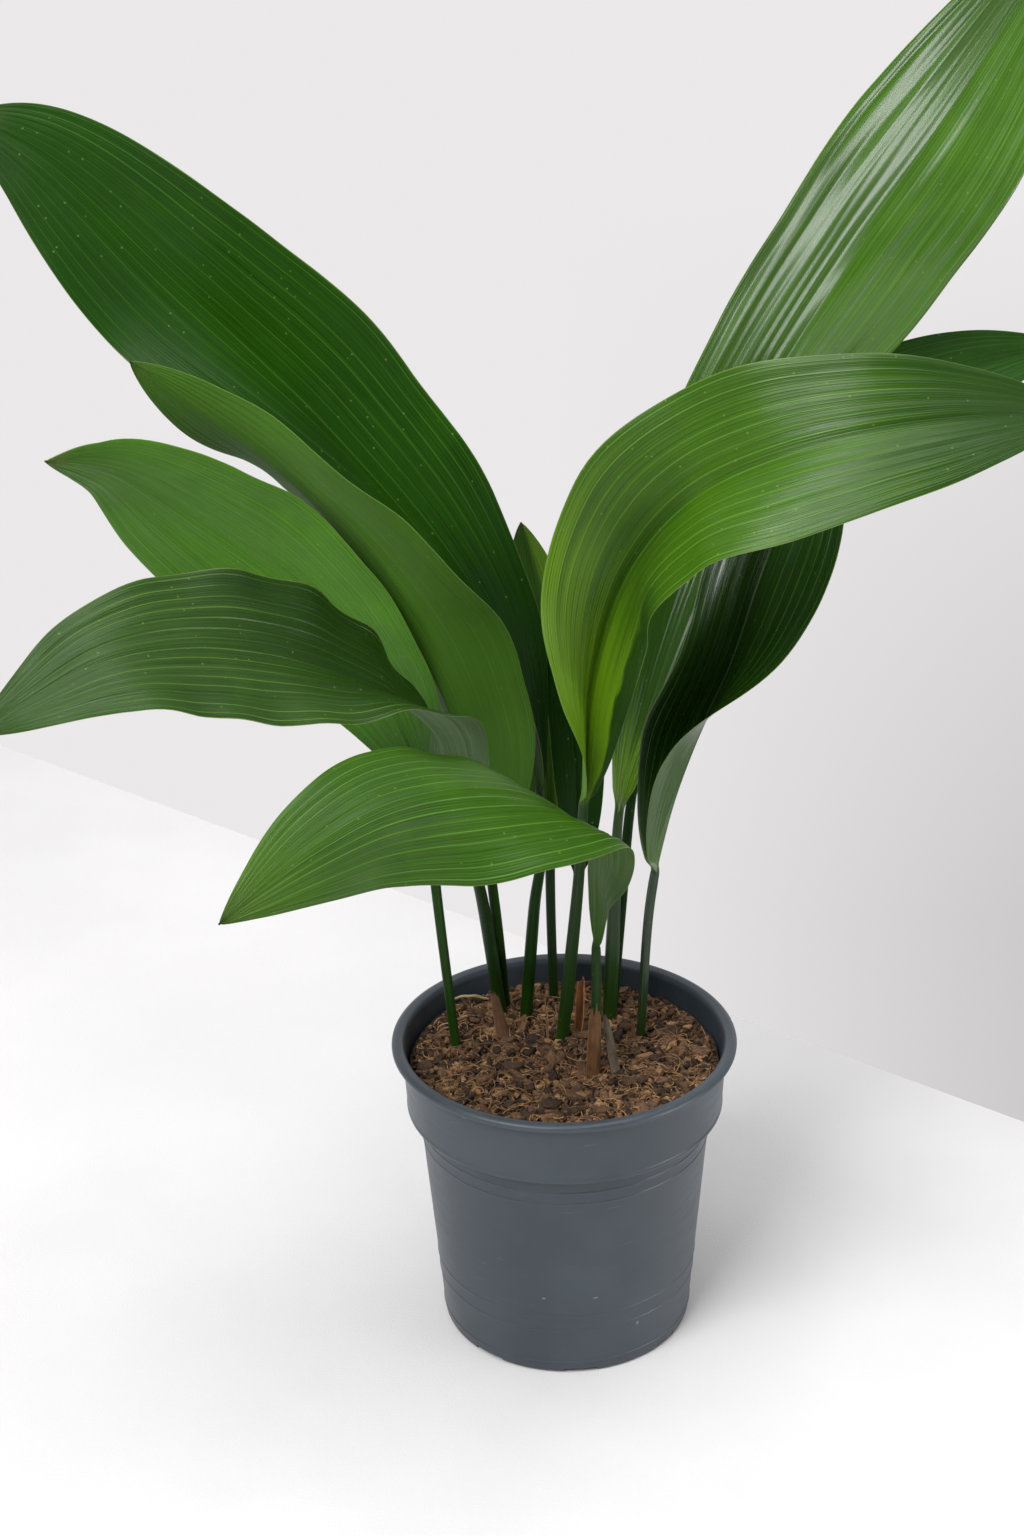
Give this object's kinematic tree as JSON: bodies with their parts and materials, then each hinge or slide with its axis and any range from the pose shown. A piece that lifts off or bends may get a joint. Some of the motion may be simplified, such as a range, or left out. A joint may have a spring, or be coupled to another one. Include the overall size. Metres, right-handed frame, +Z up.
{
  "type": "potted plant",
  "caption": "Broad-leaved houseplant with arching, waved blades on slender stalks that rise from dark soil in a tapered round nursery pot with a collar, a lip and drain notches.",
  "frame": {"origin": "middle of the pot's flat underside, on the surface that the pot stands on", "axes": "+Z up along the pot's axis; the front of the plant faces -Y and the longest leaf rises towards +X"},
  "size_m": [0.5043, 0.3188, 0.6772],
  "materials": {
    "pot": "satin",
    "soil": "rough",
    "leaf": "satin",
    "dry_sheath": "rough",
    "twig": "rough"
  },
  "bodies": {
    "root": {"pot": "pot", "soil": "soil", "leaf_high_left": "leaf", "leaf_curled_tip": "leaf", "leaf_keeled": "leaf", "leaf_low_left": "leaf", "leaf_front": "leaf", "leaf_high_right": "leaf", "leaf_arching": "leaf", "leaf_low_right": "leaf", "leaf_back_right": "leaf", "leaf_back": "leaf", "leaf_young": "leaf", "sheath_left": "dry_sheath", "sheath_orange": "dry_sheath", "sheath_thin": "dry_sheath", "sheath_front": "dry_sheath", "sheath_stub": "dry_sheath", "sheath_right": "dry_sheath", "twig": "twig"}
  },
  "joints": []
}
